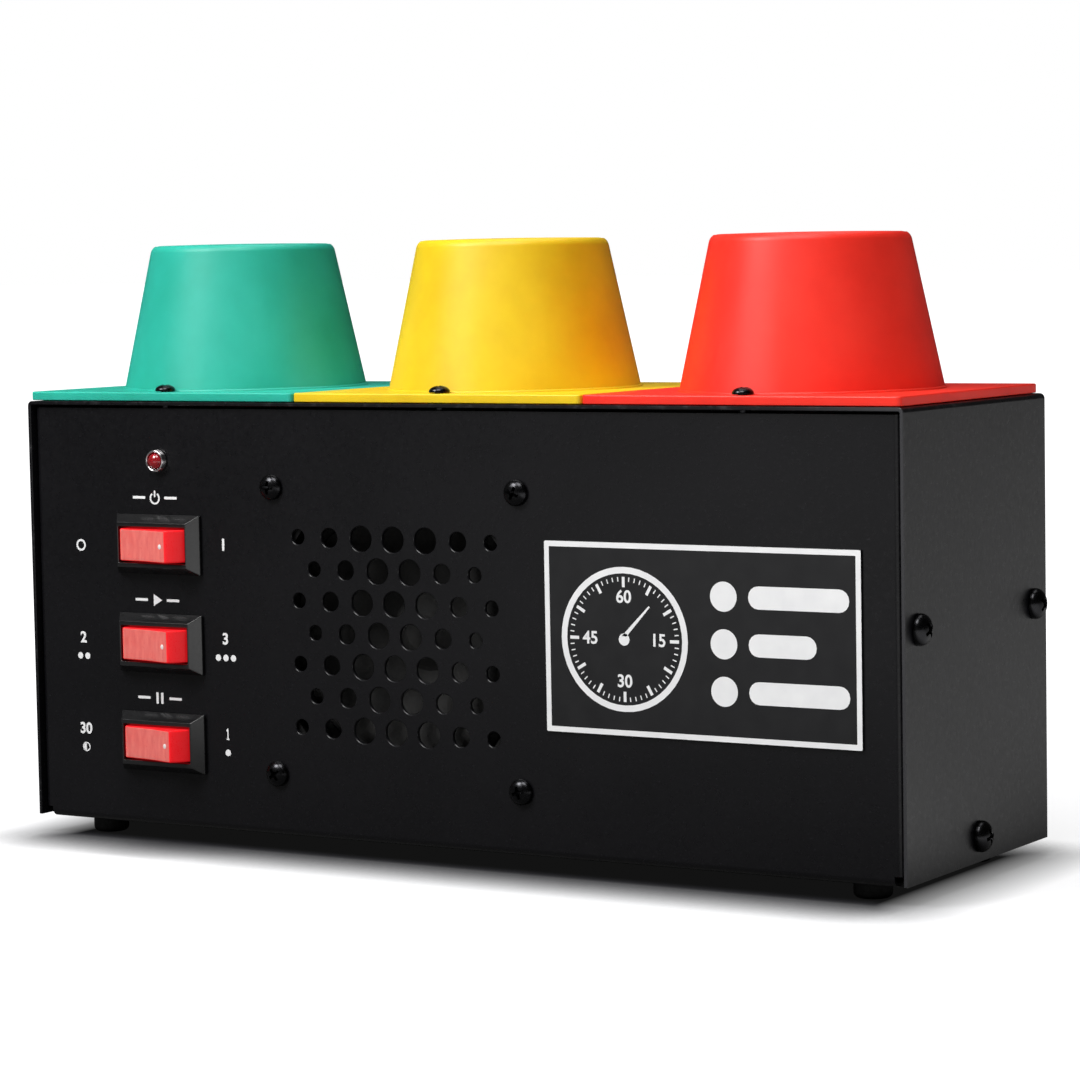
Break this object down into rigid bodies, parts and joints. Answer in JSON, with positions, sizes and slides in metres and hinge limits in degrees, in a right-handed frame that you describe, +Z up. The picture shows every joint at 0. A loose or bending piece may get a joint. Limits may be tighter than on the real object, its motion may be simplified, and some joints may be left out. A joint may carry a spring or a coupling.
{
  "type": "gym round timer",
  "caption": "Folded steel case with three signal lamps on top, rocker switches, a pilot light and a loudspeaker behind a perforated front.",
  "frame": {"origin": "on the floor under the feet, at the middle of the object's width and depth", "axes": "+X to the right of someone facing the front, -Y out of the front, +Z up"},
  "size_m": [0.3376, 0.1145, 0.2009],
  "materials": {
    "case_powder_coat": "fine-textured satin powder coat",
    "nameplate_print": "satin printed plate",
    "black_steel": "black oxide, semi-gloss",
    "foot_rubber": "matt moulded rubber",
    "switch_plastic": "satin moulded nylon",
    "rocker_red": "clear red, glossy",
    "chrome": "polished",
    "indicator_red": "clear dark red, glossy",
    "lens_green": "satin moulded plastic",
    "lens_yellow": "satin moulded plastic",
    "lens_red": "satin moulded plastic",
    "bare_steel": "zinc plated",
    "speaker_steel": "black passivated",
    "speaker_paper": "matt black pulp",
    "speaker_foam": "matt rubber roll",
    "lamp_glass": "clear",
    "lamp_holder_plastic": "moulded phenolic",
    "circuit_board": "solder mask over laminate",
    "rail_nylon": "natural nylon",
    "transformer_varnish": "varnished laminations",
    "inlet_plastic": "satin moulded nylon",
    "wire_sleeve": "braided sleeve"
  },
  "bodies": {
    "timer_body": {"chassis": "case_powder_coat", "cover": "case_powder_coat", "nameplate": "nameplate_print", "cover_screw_left_front": "black_steel", "cover_screw_left_back": "black_steel", "cover_screw_left_lower": "black_steel", "cover_screw_right_front": "black_steel", "cover_screw_right_back": "black_steel", "cover_screw_right_lower": "black_steel", "foot_front_left": "foot_rubber", "foot_screw_front_left": "black_steel", "foot_front_right": "foot_rubber", "foot_screw_front_right": "black_steel", "foot_back_left": "foot_rubber", "foot_screw_back_left": "black_steel", "foot_back_right": "foot_rubber", "foot_screw_back_right": "black_steel", "lens_green": "lens_green", "lens_screw_green_front": "black_steel", "lens_screw_green_back": "black_steel", "lamp_holder_green": "lamp_holder_plastic", "lamp_green": "lamp_glass", "lens_yellow": "lens_yellow", "lens_screw_yellow_front": "black_steel", "lens_screw_yellow_back": "black_steel", "lamp_holder_yellow": "lamp_holder_plastic", "lamp_yellow": "lamp_glass", "lens_red": "lens_red", "lens_screw_red_front": "black_steel", "lens_screw_red_back": "black_steel", "lamp_holder_red": "lamp_holder_plastic", "lamp_red": "lamp_glass", "lamp_rail": "bare_steel", "indicator_nut": "bare_steel", "speaker_magnet": "bare_steel", "power_switch_housing": "switch_plastic", "round_switch_housing": "switch_plastic", "rest_switch_housing": "switch_plastic", "indicator_ring": "chrome", "indicator_lens": "indicator_red", "speaker_basket": "speaker_steel", "speaker_surround": "speaker_foam", "speaker_screw_lower_left": "black_steel", "speaker_screw_lower_right": "black_steel", "speaker_screw_upper_left": "black_steel", "speaker_screw_upper_right": "black_steel", "power_inlet": "inlet_plastic", "inlet_screw_left": "black_steel", "inlet_screw_right": "black_steel", "transformer": "transformer_varnish", "control_board": "circuit_board", "board_rail_left": "rail_nylon", "board_rail_right": "rail_nylon", "switch_loom": "wire_sleeve", "mains_loom": "wire_sleeve"},
    "power_rocker": {"power_rocker": "rocker_red"},
    "round_rocker": {"round_rocker": "rocker_red"},
    "rest_rocker": {"rest_rocker": "rocker_red"},
    "speaker_diaphragm": {"speaker_cone": "speaker_paper"}
  },
  "joints": [
    {"name": "power_rocker_hinge", "type": "hinge", "parent": "timer_body", "child": "power_rocker", "pos_m": [-0.1107, -0.04594, 0.101], "axis": [0, 0, 1], "range_deg": [0, 24]},
    {"name": "round_rocker_hinge", "type": "hinge", "parent": "timer_body", "child": "round_rocker", "pos_m": [-0.1107, -0.04594, 0.0677], "axis": [0, 0, 1], "range_deg": [0, 24]},
    {"name": "rest_rocker_hinge", "type": "hinge", "parent": "timer_body", "child": "rest_rocker", "pos_m": [-0.1107, -0.04594, 0.0344], "axis": [0, 0, 1], "range_deg": [0, 24]},
    {"name": "speaker_cone_travel", "type": "slide", "parent": "timer_body", "child": "speaker_diaphragm", "axis": [0, -1, 0], "range_m": [-0.0012, 0.0012], "stiffness_N_per_m": 1500}
  ]
}
